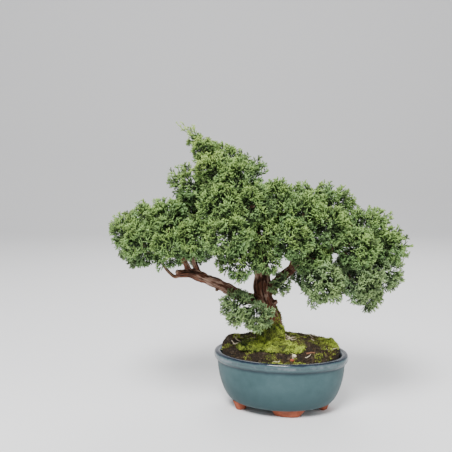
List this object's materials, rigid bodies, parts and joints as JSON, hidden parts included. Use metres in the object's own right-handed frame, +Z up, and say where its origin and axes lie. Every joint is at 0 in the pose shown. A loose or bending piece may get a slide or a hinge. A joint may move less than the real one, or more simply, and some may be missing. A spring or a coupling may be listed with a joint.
{
  "type": "juniper bonsai tree in an oval glazed pot",
  "caption": "Potted juniper bonsai: leaning flaky trunk, spreading limbs with clouds of short needle sprays, mossy soil and an oval glazed bowl on low feet.",
  "frame": {"origin": "centre of the footprint of the whole tree, on the surface that the pot's feet stand on", "axes": "+Z up; +X to the right and +Y away from a viewer who looks at the tree's front, along its longest extent and its depth"},
  "size_m": [0.3162, 0.1664, 0.3075],
  "materials": {
    "glaze": "glossy blue-grey glaze that breaks dark along the lip",
    "bare_clay": "unglazed orange-red clay",
    "netting": "dull dark netting",
    "soil": "damp granular soil",
    "pebble": "pale worn grit",
    "dry_wood": "dry brown twig",
    "moss": "soft yellow-green moss",
    "bark": "flaky red-brown bark with pale grey patches",
    "foliage_fresh": "young yellow-green needles",
    "foliage_green": "mid green needles",
    "foliage_blue": "bluish green needles",
    "foliage_olive": "older olive needles"
  },
  "bodies": {
    "root": {"pot": "glaze", "drain_net_1": "netting", "drain_net_2": "netting", "soil": "soil", "moss_trunk_foot": "moss", "moss_front": "moss", "moss_right": "moss", "clay_granule": "bare_clay", "pale_pebble": "pebble", "dry_twiglet": "dry_wood", "trunk_and_branches": "bark", "foliage_apex_1": "foliage_fresh", "foliage_apex_2": "foliage_fresh", "foliage_apex_3": "foliage_fresh", "foliage_apex_4": "foliage_fresh", "foliage_apex_5": "foliage_fresh", "foliage_apex_left_1": "foliage_green", "foliage_centre_1": "foliage_green", "foliage_centre_2": "foliage_green", "foliage_centre_3": "foliage_green", "foliage_centre_4": "foliage_green", "foliage_centre_5": "foliage_green", "foliage_crown_1": "foliage_green", "foliage_crown_2": "foliage_green", "foliage_crown_3": "foliage_green", "foliage_crown_4": "foliage_green", "foliage_fork_tuft_1": "foliage_blue", "foliage_left_back_1": "foliage_olive", "foliage_left_back_2": "foliage_olive", "foliage_left_front_1": "foliage_green", "foliage_left_front_2": "foliage_green", "foliage_left_front_3": "foliage_green", "foliage_left_front_4": "foliage_green", "foliage_left_pad_1": "foliage_green", "foliage_left_pad_2": "foliage_green", "foliage_left_pad_3": "foliage_green", "foliage_left_pad_4": "foliage_green", "foliage_left_under_1": "foliage_olive", "foliage_low_bunch_1": "foliage_blue", "foliage_low_bunch_2": "foliage_blue", "foliage_right_back_1": "foliage_olive", "foliage_right_back_2": "foliage_olive", "foliage_right_back_3": "foliage_olive", "foliage_right_back_4": "foliage_olive", "foliage_right_back_5": "foliage_olive", "foliage_right_crown_1": "foliage_green", "foliage_right_crown_2": "foliage_green", "foliage_right_crown_3": "foliage_green", "foliage_right_crown_4": "foliage_green", "foliage_right_crown_5": "foliage_green", "foliage_right_crown_6": "foliage_green", "foliage_right_crown_7": "foliage_green", "foliage_right_low_1": "foliage_blue", "foliage_right_low_2": "foliage_blue", "foliage_right_low_3": "foliage_blue", "foliage_right_low_4": "foliage_blue", "foliage_right_pad_1": "foliage_green", "foliage_right_pad_2": "foliage_green", "foliage_right_pad_3": "foliage_green", "foliage_right_pad_4": "foliage_green"}
  },
  "joints": []
}
